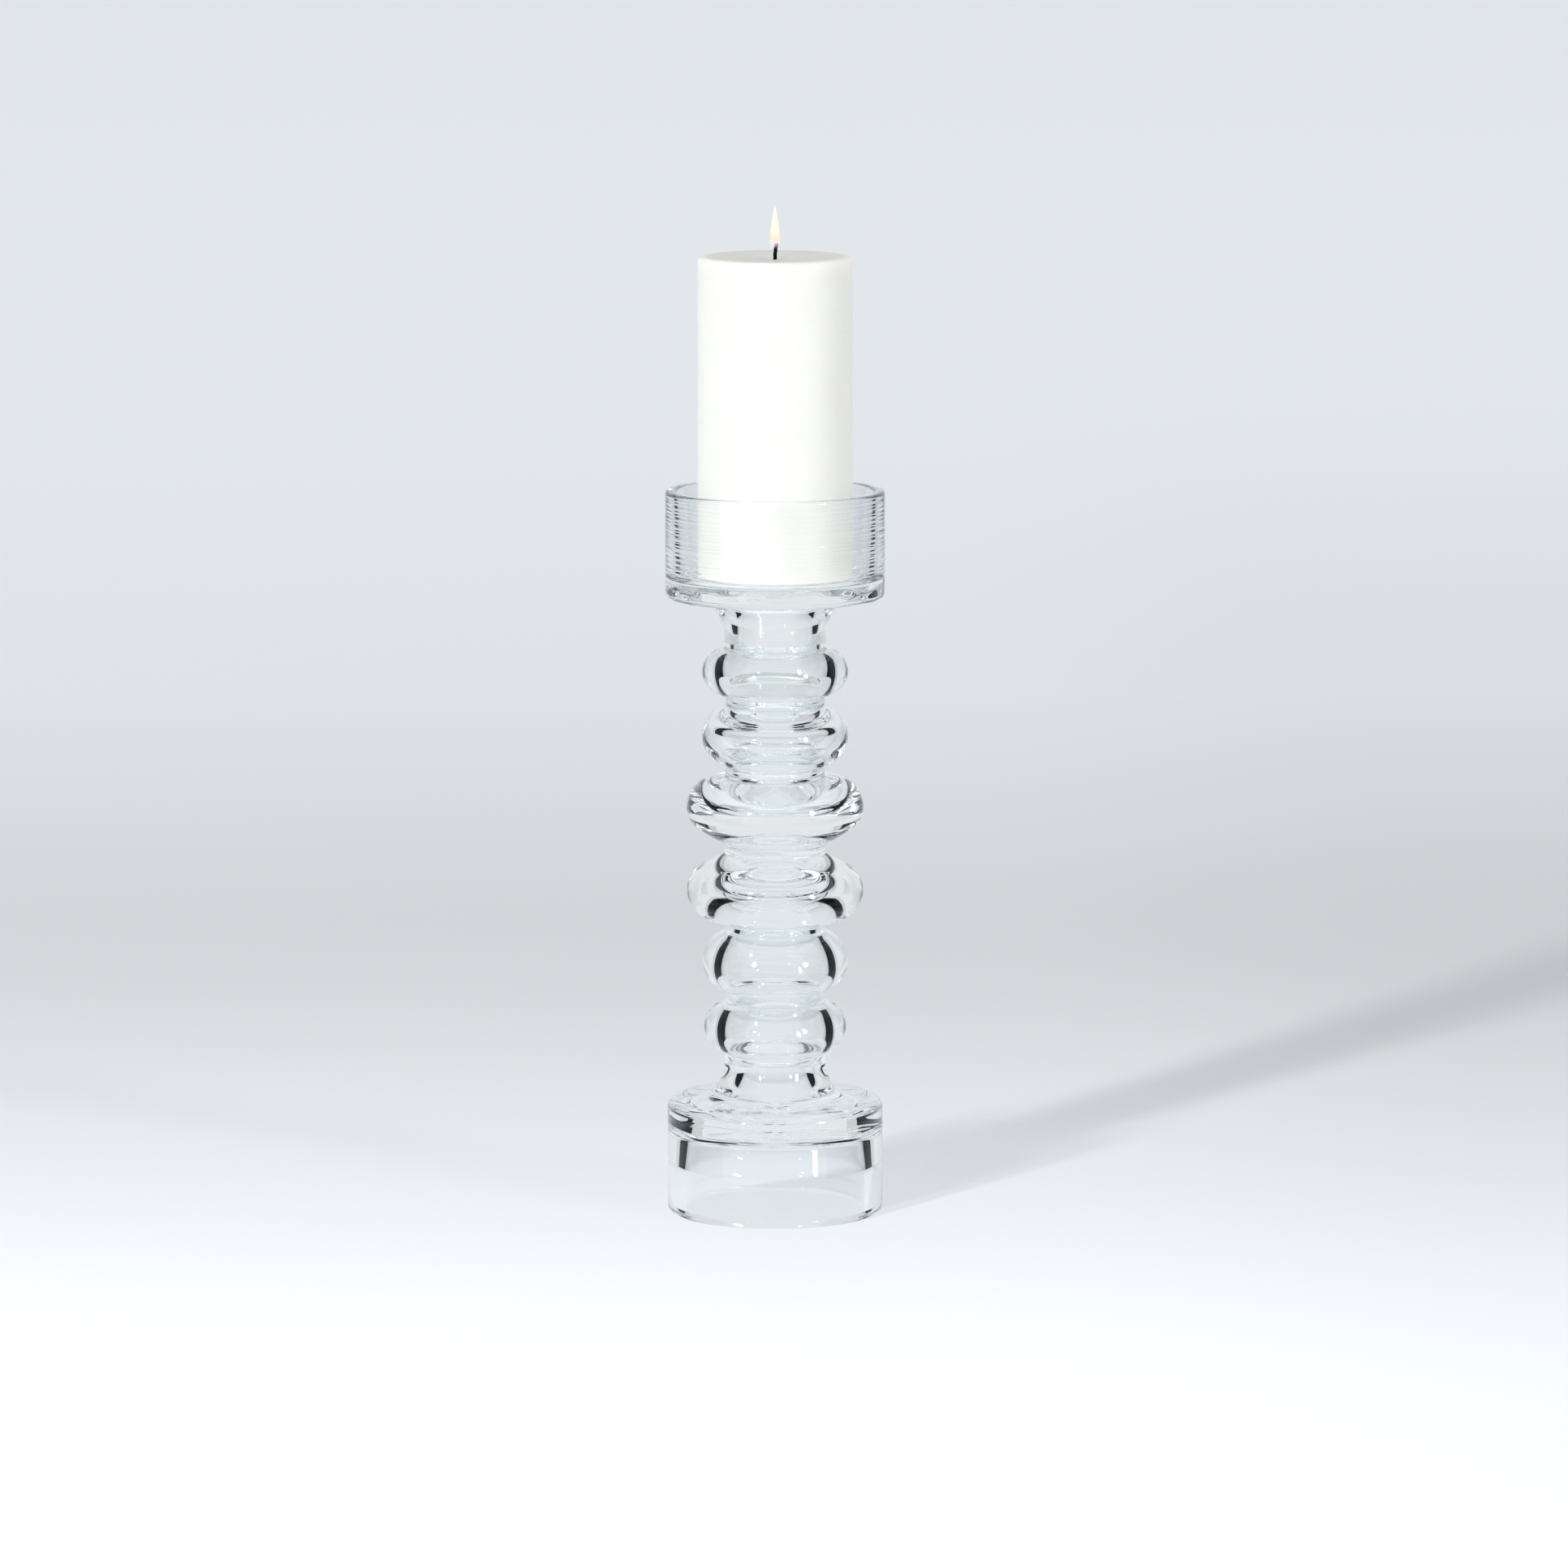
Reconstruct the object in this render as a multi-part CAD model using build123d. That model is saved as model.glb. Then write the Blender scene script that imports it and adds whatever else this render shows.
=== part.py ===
from build123d import *
import math
import os

# Candle holder of stacked clear glass rings, with a pillar candle.
# Millimetres, +Z up, origin at the centre of the circle it stands on.
# The stem is two equal stacks of turned glass sections, joined back to back at
# half height, so every stem height is counted outwards from the middle joint.

# ---- overall heights ----
BASE_TOP = 56.0
CUP_FOOT = 303.4
RIM_HEIGHT = 356.0
STEM_MIDDLE = (BASE_TOP + CUP_FOOT) / 2
HALF_STEM = (CUP_FOOT - BASE_TOP) / 2
BOND = 0.15                      # adhesive film between two glass sections

# ---- candle cup ----
CUP_RADIUS = 53.4
CUP_RIM_BORE = 48.1
CUP_FLOOR_BORE = 46.1
CUP_FLOOR = 312.5
CUP_FOOT_ROUND = 3.0
CUP_FLOOR_ROUND = 4.0
RIM_ROUND = 1.8

# ---- base: the same form upside down, with a thicker wall and slab ----
BASE_RADIUS = 52.8
BASE_BORE = 44.0
BASE_BEND = 22.0                 # height from which the bore narrows upwards
BASE_BEND_ROUND = 60.0
BASE_CEILING_BORE = 41.9
BASE_CEILING = 41.4
BASE_SHOULDER_ROUND = 5.0
BASE_CEILING_ROUND = 5.0
FOOT_ROUND = 2.4

# ---- stem sections, as distances from the middle joint ----
LARGE_END = 38.0
INNER_SMALL_END = 73.0
TOP_RING_END = 101.5             # hand-finished, so the two halves differ a little
LOWEST_RING_END = 103.5
MIDDLE_RADIUS = 24.6
LARGE_EQUATOR = 20.5
LARGE_RADIUS = 43.2
LARGE_FLANK_ROUND = 13.0
LARGE_BORE = 31.5
LARGE_BORE_LEVEL = 27.5
LARGE_BORE_ROUND = 7.5
SMALL_RADIUS = 35.6
LOWEST_RING_RADIUS = 34.8
GROOVE_RADIUS = 24.2
GROOVE_ROUND = 1.4
COLLAR = 1.5                     # straight land on each side of a joint
NECK_RADIUS = 24.7
NECK_THROAT = {"upper_neck": 8.0, "lower_neck": 4.0}  # ring joint to narrowest bore
NECK_BORE = {"upper_neck": 18.1, "lower_neck": 15.0}
NECK_FLARE_RADIUS = 33.5
NECK_FLARE_BORE = {"upper_neck": 28.0, "lower_neck": 24.0}

# ---- hollow inside the stem ----
JOINT_BORES = {                  # at each half's three inner joints, from the middle outwards
    "upper": [18.0, 18.8, 20.2],
    "lower": [17.0, 19.0, 16.4],
}
HOLLOWS = {                      # widest radius, its offset outwards from the ring's middle,
    "ring_1": (26.0, 0.0, 8.2, 8.2, 0.0),        # profile round beyond it and before it,
    "ring_2": (26.0, 1.0, 4.0, 7.0, 9.0),        # and straight run at the outer joint
    "ring_5": (26.2, 2.5, 9.0, 12.5, 0.0),
    "ring_6": (24.6, 1.8, 9.2, 9.2, 0.0),
}

# ---- closed end of the hollow inside each large ring ----
PLUG_RADIUS = 23.0
PLUG_LEVEL = 19.0
NUB_RADIUS = 11.5
NUB_LEVEL = 20.0
NUB_DEPTH = 2.2

# ---- candle ----
CANDLE_RADIUS = 37.6
CANDLE_TOP = 468.7
CANDLE_FOOT = CUP_FLOOR + 0.2    # it rests with a hair of clearance
CANDLE_TOP_ROUND = 1.3
CANDLE_FOOT_ROUND = 2.0
POOL_RADIUS = 8.5
POOL_DEPTH = 1.2
WICK_RADIUS = 0.95
WICK_BORE = WICK_RADIUS + 0.05
WICK_FOOT = CANDLE_FOOT + 1.0
WICK_RISE = 7.0
WICK_LEAN = 14.0                 # degrees from upright at the tip

# ---- metal tab that holds the wick's foot, let into the candle from below ----
TAB_RADIUS = 9.5
TAB_THICKNESS = 0.4
TAB_NECK_RADIUS = 1.9
TAB_NECK_HEIGHT = 6.0
TAB_RECESS = 0.3
TAB_CLEARANCE = 0.1


def turned(edges):
    """Solid of revolution about Z of the closed half outline (radius, height)."""
    return revolve(Plane.XZ * make_face(edges), Axis.Z, 360)


def arc_about(centre, radius, start, end):
    """Arc about a centre, from one angle in degrees to another."""
    return ThreePointArc(*[
        (centre[0] + radius * math.cos(math.radians(angle)),
         centre[1] + radius * math.sin(math.radians(angle)))
        for angle in (start, (start + end) / 2, end)
    ])


def swell(waist, waist_round, belly, belly_round=None):
    """Edges from a waist out to a belly, both (radius, height), upright at each end.

    A hollow arc leaves the waist and a bulging arc reaches the belly. Without
    belly_round the two arcs touch, otherwise a straight flank joins them.
    """
    side = 1 if belly[1] > waist[1] else -1
    rise = abs(belly[1] - waist[1])
    touching = belly_round is None
    if touching:
        reach = belly[0] - waist[0]
        across = reach - waist_round
        belly_round = (across ** 2 + rise ** 2 - waist_round ** 2) / (2 * reach)
    hollow_centre = (waist[0] + waist_round, waist[1])
    bulge_centre = (belly[0] - belly_round, belly[1])
    across = bulge_centre[0] - hollow_centre[0]
    turn = math.atan2(rise, across)
    if not touching:
        turn += math.acos((waist_round + belly_round) / math.hypot(across, rise))
    turn = math.degrees(turn)
    leaving = arc_about(hollow_centre, waist_round, side * 180, side * turn)
    arriving = arc_about(bulge_centre, belly_round, side * (turn - 180), 0)
    if touching:
        return [leaving, arriving]
    return [leaving, Line(leaving @ 1, arriving @ 0), arriving]


def hollow(waist, belly, belly_round):
    """Like swell, with the bulging arc given and the hollow one made to touch it."""
    reach = belly[0] - waist[0]
    rise = belly[1] - waist[1]
    return swell(waist, (reach ** 2 + rise ** 2) / (2 * reach) - belly_round, belly)


def small_ring(name, low, high, radius, low_bore, high_bore):
    """Bead-shaped section, hollow right through; high is its end away from the middle."""
    equator = (low + high) / 2
    belly = (radius, equator)
    widest, offset, high_round, low_round, land = HOLLOWS[name]
    hollow_belly = (widest, equator + offset)
    straight = [Line((high_bore, high), (high_bore, high - land))] if land else []
    return turned([
        Line((GROOVE_RADIUS, low), (GROOVE_RADIUS, low + COLLAR)),
        *swell((GROOVE_RADIUS, low + COLLAR), GROOVE_ROUND, belly),
        *swell((GROOVE_RADIUS, high - COLLAR), GROOVE_ROUND, belly),
        Line((GROOVE_RADIUS, high - COLLAR), (GROOVE_RADIUS, high)),
        Line((GROOVE_RADIUS, high), (high_bore, high)),
        *straight,
        *hollow((high_bore, high - land), hollow_belly, high_round),
        *hollow((low_bore, low), hollow_belly, low_round),
        Line((low_bore, low), (GROOVE_RADIUS, low)),
    ])


def large_ring(low, high, high_bore):
    """Broad section: its hollow opens away from the middle, above a solid plug."""
    belly = (LARGE_RADIUS, LARGE_EQUATOR)
    hollow_belly = (LARGE_BORE, LARGE_BORE_LEVEL)
    plug_edge = (PLUG_RADIUS, PLUG_LEVEL)
    nub_edge = (NUB_RADIUS, NUB_LEVEL)
    nub_tip = (0, NUB_LEVEL - NUB_DEPTH)
    return turned([
        Line((0, low), (MIDDLE_RADIUS, low)),
        Line((MIDDLE_RADIUS, low), (MIDDLE_RADIUS, low + COLLAR)),
        *swell((MIDDLE_RADIUS, low + COLLAR), GROOVE_ROUND, belly, LARGE_FLANK_ROUND),
        *swell((GROOVE_RADIUS, high - COLLAR), GROOVE_ROUND, belly),
        Line((GROOVE_RADIUS, high - COLLAR), (GROOVE_RADIUS, high)),
        Line((GROOVE_RADIUS, high), (high_bore, high)),
        *hollow((high_bore, high), hollow_belly, LARGE_BORE_ROUND),
        TangentArc(hollow_belly, plug_edge, tangent=(0, -1)),
        Line(plug_edge, nub_edge),
        TangentArc(nub_tip, nub_edge, tangent=(1, 0)),
        Line(nub_tip, (0, low)),
    ])


def neck(name, low, high, low_bore):
    """Waisted section that flares towards the cup, or towards the base."""
    waist = low + COLLAR
    throat = (NECK_BORE[name], low + NECK_THROAT[name])
    mouth = (NECK_FLARE_BORE[name], high)
    return turned([
        Line((NECK_RADIUS, low), (NECK_RADIUS, waist)),
        TangentArc((NECK_RADIUS, waist), (NECK_FLARE_RADIUS, high), tangent=(0, 1)),
        Line((NECK_FLARE_RADIUS, high), mouth),
        TangentArc(throat, mouth, tangent=(0, 1)),
        TangentArc(throat, (low_bore, low), tangent=(0, -1)),
        Line((low_bore, low), (NECK_RADIUS, low)),
    ])


def softened(corners, rounds):
    """Solid of revolution of a polygon with corners rounded, from (corner, radius) pairs."""
    face = make_face(Polyline(*corners, close=True))
    for corner, radius in rounds:
        face = fillet([face.vertices().sort_by_distance(corner)[0]], radius)
    return revolve(Plane.XZ * face, Axis.Z, 360)


def candle_cup():
    """The bowl on top that the candle stands in."""
    foot = (CUP_RADIUS, CUP_FOOT)
    rim = (CUP_RADIUS, RIM_HEIGHT)
    mouth = (CUP_RIM_BORE, RIM_HEIGHT)
    floor = (CUP_FLOOR_BORE, CUP_FLOOR)
    return softened(
        [(0, CUP_FOOT), foot, rim, mouth, floor, (0, CUP_FLOOR)],
        [(foot, CUP_FOOT_ROUND), (rim, RIM_ROUND), (mouth, RIM_ROUND), (floor, CUP_FLOOR_ROUND)],
    )


def base_cup():
    """The upturned bowl that the holder stands on."""
    shoulder = (BASE_RADIUS, BASE_TOP)
    foot = (BASE_RADIUS, 0)
    mouth = (BASE_BORE, 0)
    bend = (BASE_BORE, BASE_BEND)
    ceiling = (BASE_CEILING_BORE, BASE_CEILING)
    return softened(
        [(0, BASE_TOP), shoulder, foot, mouth, bend, ceiling, (0, BASE_CEILING)],
        [(shoulder, BASE_SHOULDER_ROUND), (foot, FOOT_ROUND), (mouth, FOOT_ROUND),
         (bend, BASE_BEND_ROUND), (ceiling, BASE_CEILING_ROUND)],
    )


def half_stem(names, bores, rings_end, outer_ring_radius):
    """The four sections of one half, from the middle outwards."""
    half_bond = BOND / 2
    return [
        large_ring(half_bond, LARGE_END - half_bond, bores[0]),
        small_ring(
            names[1], LARGE_END + half_bond, INNER_SMALL_END - half_bond, SMALL_RADIUS,
            bores[0], bores[1],
        ),
        small_ring(
            names[2], INNER_SMALL_END + half_bond, rings_end - half_bond, outer_ring_radius,
            bores[1], bores[2],
        ),
        neck(names[3], rings_end + half_bond, HALF_STEM - BOND, bores[2]),
    ]


def film(middle, radius, bore):
    """One thin layer of clear adhesive, centred on a height in the stem."""
    layer = Cylinder(radius, BOND)
    if bore:
        layer -= Cylinder(bore, 2 * BOND)
    return Pos(0, 0, middle) * layer


def half_stem_films(bores, rings_end, mouth_bore):
    """The films beyond the four sections of one half, from the middle outwards."""
    return [
        film(LARGE_END, GROOVE_RADIUS, bores[0]),
        film(INNER_SMALL_END, GROOVE_RADIUS, bores[1]),
        film(rings_end, GROOVE_RADIUS, bores[2]),
        film(HALF_STEM - BOND / 2, NECK_FLARE_RADIUS, mouth_bore),
    ]


def stem():
    """Every section and adhesive film between the base and the cup, by node name."""
    upper = Pos(0, 0, STEM_MIDDLE)
    lower = upper * Rot(180, 0, 0)
    upper_names = ["ring_3", "ring_2", "ring_1", "upper_neck", "candle_cup"]
    lower_names = ["ring_4", "ring_5", "ring_6", "lower_neck", "base_cup"]
    nodes = {"bond_ring_3_to_ring_4": upper * film(0, MIDDLE_RADIUS, 0)}
    for place, half, names, rings_end, outer_ring_radius in (
        (upper, "upper", upper_names, TOP_RING_END, SMALL_RADIUS),
        (lower, "lower", lower_names, LOWEST_RING_END, LOWEST_RING_RADIUS),
    ):
        bores = JOINT_BORES[half]
        sections = half_stem(names, bores, rings_end, outer_ring_radius)
        for name, section in zip(names, sections):
            nodes[name] = place * section
        layers = half_stem_films(bores, rings_end, NECK_FLARE_BORE[names[3]])
        for near, far, layer in zip(names, names[1:], layers):
            nodes[f"bond_{near}_to_{far}"] = place * layer
    return nodes


def pool_arc(start, end, radius):
    """Dished surface of the melt pool, an arc centred over the wick."""
    centre_height = start[1] + math.sqrt(radius ** 2 - start[0] ** 2)
    middle = (start[0] + end[0]) / 2
    sag = (middle, centre_height - math.sqrt(radius ** 2 - middle ** 2))
    return ThreePointArc(start, sag, end)


def candle_wax():
    """Pillar of wax with a bore for the wick and a recess for the tab under it."""
    tab_seat = CANDLE_FOOT + TAB_RECESS + TAB_THICKNESS + TAB_CLEARANCE
    tab_neck_seat = tab_seat + TAB_NECK_HEIGHT
    tab_bore = TAB_RADIUS + TAB_CLEARANCE
    neck_bore = TAB_NECK_RADIUS + TAB_CLEARANCE
    pool_floor = CANDLE_TOP - POOL_DEPTH
    pool_round = (POOL_RADIUS ** 2 + POOL_DEPTH ** 2) / (2 * POOL_DEPTH)
    bore_top = pool_floor + pool_round - math.sqrt(pool_round ** 2 - WICK_BORE ** 2)
    shoulder = CANDLE_RADIUS - CANDLE_TOP_ROUND
    foot = CANDLE_RADIUS - CANDLE_FOOT_ROUND
    return turned([
        Polyline(
            (WICK_BORE, bore_top), (WICK_BORE, tab_neck_seat), (neck_bore, tab_neck_seat),
            (neck_bore, tab_seat), (tab_bore, tab_seat), (tab_bore, CANDLE_FOOT),
            (foot, CANDLE_FOOT),
        ),
        TangentArc(
            (foot, CANDLE_FOOT), (CANDLE_RADIUS, CANDLE_FOOT + CANDLE_FOOT_ROUND),
            tangent=(1, 0),
        ),
        Line(
            (CANDLE_RADIUS, CANDLE_FOOT + CANDLE_FOOT_ROUND),
            (CANDLE_RADIUS, CANDLE_TOP - CANDLE_TOP_ROUND),
        ),
        TangentArc(
            (CANDLE_RADIUS, CANDLE_TOP - CANDLE_TOP_ROUND), (shoulder, CANDLE_TOP),
            tangent=(0, 1),
        ),
        Line((shoulder, CANDLE_TOP), (POOL_RADIUS, CANDLE_TOP)),
        pool_arc((POOL_RADIUS, CANDLE_TOP), (WICK_BORE, bore_top), pool_round),
    ])


def wick():
    """Round cord, straight inside the wax and leaning over at its burnt tip."""
    straight_top = CANDLE_TOP
    rise = CANDLE_TOP + WICK_RISE - straight_top
    lean = math.radians(WICK_LEAN)
    drift = rise * math.tan(lean / 2)
    path = Line((0, 0, WICK_FOOT), (0, 0, straight_top)) + ThreePointArc(
        (0, 0, straight_top),
        (drift / 4, 0, straight_top + rise / 2),
        (drift, 0, straight_top + rise),
    )
    return sweep(Pos(0, 0, WICK_FOOT) * Circle(WICK_RADIUS), path=path)


def wick_sustainer():
    """Pressed metal disc with a short neck crimped round the wick's foot."""
    foot = CANDLE_FOOT + TAB_RECESS
    disc_top = foot + TAB_THICKNESS
    return turned([Polyline(
        (0, foot), (TAB_RADIUS, foot), (TAB_RADIUS, disc_top), (TAB_NECK_RADIUS, disc_top),
        (TAB_NECK_RADIUS, disc_top + TAB_NECK_HEIGHT),
        (WICK_BORE, disc_top + TAB_NECK_HEIGHT), (WICK_BORE, disc_top), (0, disc_top),
        close=True,
    )])


parts = {
    "candle_cup": candle_cup(),
    **stem(),
    "base_cup": base_cup(),
    "candle_wax": candle_wax(),
    "wick": wick(),
    "wick_sustainer": wick_sustainer(),
}

os.makedirs("parts", exist_ok=True)
for name, shape in parts.items():
    shape.label = name
    export_step(shape, f"parts/{name}.step")
    print(f"{name}: {shape.volume:.1f} mm3, {len(shape.solids())} solid")
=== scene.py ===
import math
import random

import bpy
import numpy as np
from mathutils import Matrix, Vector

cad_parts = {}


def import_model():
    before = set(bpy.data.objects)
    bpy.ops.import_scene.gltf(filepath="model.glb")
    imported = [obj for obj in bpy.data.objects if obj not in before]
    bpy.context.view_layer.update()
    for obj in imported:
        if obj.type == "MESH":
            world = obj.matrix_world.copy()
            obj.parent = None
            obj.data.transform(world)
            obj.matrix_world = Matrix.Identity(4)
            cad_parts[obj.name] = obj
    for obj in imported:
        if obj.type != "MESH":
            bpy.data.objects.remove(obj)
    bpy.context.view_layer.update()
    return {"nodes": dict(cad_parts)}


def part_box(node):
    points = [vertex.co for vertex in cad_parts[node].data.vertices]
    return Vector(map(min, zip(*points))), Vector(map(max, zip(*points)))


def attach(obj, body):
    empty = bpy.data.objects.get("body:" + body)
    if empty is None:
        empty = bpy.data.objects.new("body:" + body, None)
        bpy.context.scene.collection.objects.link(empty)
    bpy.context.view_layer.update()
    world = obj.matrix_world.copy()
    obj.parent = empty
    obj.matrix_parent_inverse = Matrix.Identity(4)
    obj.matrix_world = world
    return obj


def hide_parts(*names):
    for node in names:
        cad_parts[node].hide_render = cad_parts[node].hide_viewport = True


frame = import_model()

# A candle holder of bonded clear glass sections with a lit pillar candle.
# Lengths in the outlines are millimetres, as (radius, height) pairs above the table,
# and lathe() turns them into meshes in metres.

MM = 0.001
TINY = 1e-6
SEGMENTS = 192                   # steps round every turned piece
STEP = 0.5                       # spacing of points along a curved outline
WALL_STEP = 0.6                  # spacing along straight walls that carry ripples
FADE = 3.0                       # length over which a ripple dies out at a joint
WAVES = 9                        # how many waves make up one ripple
SHARP_ANGLE = 35                 # degrees; gentler edges are shaded smooth
ANGLES = np.linspace(0, 2 * math.pi, SEGMENTS, endpoint=False)

# ---- stem outlines that the nodes' boxes don't give ----
BOND = 0.15                      # adhesive film between two glass sections
COLLAR = 1.5
GROOVE_RADIUS = 24.2
GROOVE_ROUND = 1.4
JOINT_BORE = {                   # hollow through each joint of the stem
    ("ring_1", "upper_neck"): 20.2,
    ("ring_2", "ring_1"): 18.8,
    ("ring_3", "ring_2"): 18.0,
    ("ring_4", "ring_5"): 17.0,
    ("ring_5", "ring_6"): 19.0,
    ("ring_6", "lower_neck"): 16.4,
}
HOLLOW = {                       # widest radius, its height above the ring's middle,
    "ring_1": (26.0, 0.0, 8.2, 8.2, 0.0),        # round above it, round below it,
    "ring_2": (26.0, 1.0, 4.0, 7.0, 9.0),        # and straight run under the joint above
    "ring_5": (26.2, -2.5, 12.5, 9.0, 0.0),
    "ring_6": (24.6, -1.8, 9.2, 9.2, 0.0),
}
MIDDLE_RADIUS = 24.6
LARGE_EQUATOR = 20.5             # away from the middle joint, as all levels of a large ring
LARGE_FLANK_ROUND = 13.0
LARGE_BORE = 31.5
LARGE_BORE_LEVEL = 27.5
LARGE_BORE_ROUND = 7.5
PLUG_RADIUS = 23.0
PLUG_LEVEL = 19.0
NUB_RADIUS = 11.5
NUB_LEVEL = 20.0
NUB_DEPTH = 2.2
NECK_RADIUS = 24.7
NECK_THROAT = {"upper_neck": 8.0, "lower_neck": 4.0}  # ring joint to narrowest bore
NECK_BORE = {"upper_neck": 18.1, "lower_neck": 15.0}
NECK_FLARE_BORE = {"upper_neck": 28.0, "lower_neck": 24.0}

# ---- cup and base outlines ----
CUP_RIM_BORE = 48.1
CUP_FLOOR_BORE = 46.1
CUP_SLAB = 9.1
CUP_FOOT_ROUND = 3.0
CUP_FLOOR_ROUND = 4.0
RIM_ROUND = 1.8
LIP_TAPER = 0.2                  # how far the bore narrows before the lip's run ends
BASE_BORE = 44.0
BASE_BEND = 22.0                 # height from which the bore narrows upwards
BASE_BEND_ROUND = 60.0
BASE_CEILING_BORE = 41.9
BASE_SLAB = 14.6
BASE_SHOULDER_ROUND = 5.0
BASE_CEILING_ROUND = 5.0
BASE_COVE_ROUND = 4.8            # a little less, so that its arc ends short of the roof's run
FOOT_ROUND = 2.4

# ---- candle ----
POOL_RADIUS = 8.5
POOL_DEPTH = 1.2
WAX_BORE = 1.15                  # clears the wick
WAX_BRIM = 0.9                   # how far the candle's edge stands above its pool
WAX_BRIM_WIDTH = 4.0
WAX_SHOULDER = 2.4
WAX_FOOT_ROUND = 2.0
WAX_STEP = 3.0
WICK_SIDES = 24
WICK_STEP = 0.35
WICK_TIP_TAPER = 0.72
BRAID_STRANDS = 3
BRAID_DEPTH = 0.07               # share of the wick's radius
BRAID_TWIST = 2.4                # radians per mm
BRAID_START = 2.0                # how far below the wax the braid starts
CHAR_DEPTH = 1.0                 # how far below the wax the wick is charred
FLAME_RADIUS = 2.6
FLAME_FOOT = 4.5                 # above the wax
FLAME_TIP = 26.0
FLAME_POINTEDNESS = 1.9
FLAME_SHOULDER = 0.10            # share of the flame's height over which its foot widens
FLAME_STEPS = 40

# ---- unevenness of hand-made pieces: range of the waves in radians per mm along the
# ---- outline, how many go round the piece, and height in mm
RING_WAVES = ((-0.35, 0.35), (1, 2, 3, 4), 0.10)
NECK_WAVES = ((-0.35, 0.35), (1, 2, 3, 4), 0.06)
CUP_FOOT_WAVES = ((-0.9, 0.9), (8, 13, 21), 0.34)
CUP_LIP_WAVES = ((1.5, 3.5), (-2, -1, 1, 2), 0.06)
CUP_INSIDE_WAVES = ((2.0, 5.0), (-3, -2, -1, 1, 2, 3), 0.035)
BASE_SHOULDER_WAVES = ((-0.5, 0.5), (5, 8, 11, 14), 0.25)
BASE_WALL_WAVES = ((-0.1, 0.1), (2, 3, 5), 0.06)
BASE_ROOF_WAVES = ((-0.4, 0.4), (5, 8, 11, 14, 17), 0.5)
WAX_WAVES = ((-0.05, 0.05), (1, 2, 3), 0.12)

# ---- looks ----
GLASS_COLOUR = (0.991, 0.998, 1.0)
GLASS_IOR = 1.5
WAX_COLOUR = (0.73, 0.73, 0.695)
# the top of the candle takes a darker, yellower copy of the wax: painted shade
PAINTED_SHADE_WAX_COLOUR = (0.67, 0.667, 0.62)
WAX_SCATTER = (1.0, 0.75, 0.45)  # share of the scatter length for red, green and blue
WAX_SCATTER_LENGTH = 0.012       # metres
CORD_COLOUR = (0.85, 0.82, 0.74)
CHAR_COLOUR = (0.012, 0.011, 0.011)
TIN_COLOUR = (0.72, 0.72, 0.70)
FLAME_COLOURS = (                # share of the flame's height, colour
    (0.0, (0.80, 0.80, 0.95)),
    (0.12, (0.92, 0.80, 0.82)),
    (0.24, (1.0, 0.80, 0.60)),
    (0.42, (1.0, 0.95, 0.78)),
    (1.0, (1.0, 0.96, 0.80)),
)
FLAME_GLOW = 1.1

# ---- stage, in metres ----
CAMERA_LENS = 193.3              # millimetres
CAMERA_PLACE = (0.00436, -4.0661, 0.83057)
CAMERA_DIP = 8.66                # degrees below level
WORLD_COLOUR = (0.95, 0.975, 1.0)
WORLD_STRENGTH = 0.82
FLOOR_RADIUS = 16
FLOOR_SIDES = 96
# the paper darkens towards the camera, and a band of painted shade falls behind the holder
PAPER_WITH_PAINTED_SHADE = (                        # metres behind the holder, and reflectance: the paper's own with painted shade
    (-3.2, 0.36), (-2.2, 0.44), (-1.5, 0.66), (-1.0, 0.87), (-0.5, 0.87), (-0.2, 0.83),
    (0.1, 0.765), (0.45, 0.685), (0.8, 0.62), (1.2, 0.70), (1.8, 0.80), (3.5, 0.92),
    (6.0, 0.97),
)
SWEEP_TINT = (0.98, 1.0, 1.02)
# the front of the paper glows a little: painted light
PAINTED_LIGHT_COLOUR = (0.97, 0.99, 1.0)
FOREGROUND_PAINTED_LIGHT = 0.03
PAINTED_LIGHT_FADE = (-0.4, 0.1)          # metres behind the holder
# painted shade darkens the paper to the right, near the holder, fading out far behind
SIDE_PAINTED_SHADE = 0.05
SIDE_FADE = (0.10, 0.42)         # metres to the right
SIDE_REACH = (1.0, 4.0)          # metres behind the holder
LAMP_DISTANCE = 5.0
LAMP_AIM = (0, 0, 0.22)
KEY_ANGLES = (-33.7, 11)         # degrees round from straight behind the camera, and up
FILL_ANGLES = (50, 10)
FLAG_DISTANCE = 1.5
FLAG_HEIGHT = 3.0
FLAG_STEPS = 12
FLAGS = (                        # edges in degrees from straight behind, and opacity
    ("flag", 38, 115, 1.0),
    ("penumbra", 30, 38, 0.25),
)
DARK_TONES = ((0.06, 0.012), (0.17, 0.115), (0.35, 0.335), (0.6, 0.6), (0.8, 0.8))

POLISHED, BONDED = 0, 1          # material slots of a glass piece
IVORY, PAINTED_SHADE_TOP = 0, 1               # and of the candle
CORD, CHAR = 0, 1                # and of the wick


def box_mm(node):
    """Lowest height, highest height and radius of a turned node."""
    low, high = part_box(node)
    return low[2] / MM, high[2] / MM, (high[1] - low[1]) / 2 / MM


# ---------------------------------------------------------------- outlines
def line(start, end, step=None):
    """Straight run of points, in one piece or in equal parts no longer than step."""
    count = 1 if step is None else max(1, math.ceil(math.dist(start, end) / step))
    reach = np.array(end) - start
    return [tuple(np.array(start) + reach * i / count) for i in range(count + 1)]


def arc(centre, radius, start, end):
    """Points on an arc, from one angle in degrees to another."""
    count = max(4, math.ceil(abs(math.radians(end - start)) * radius / STEP))
    angles = np.radians(np.linspace(start, end, count + 1))
    return [
        (centre[0] + radius * math.cos(a), centre[1] + radius * math.sin(a)) for a in angles
    ]


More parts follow.
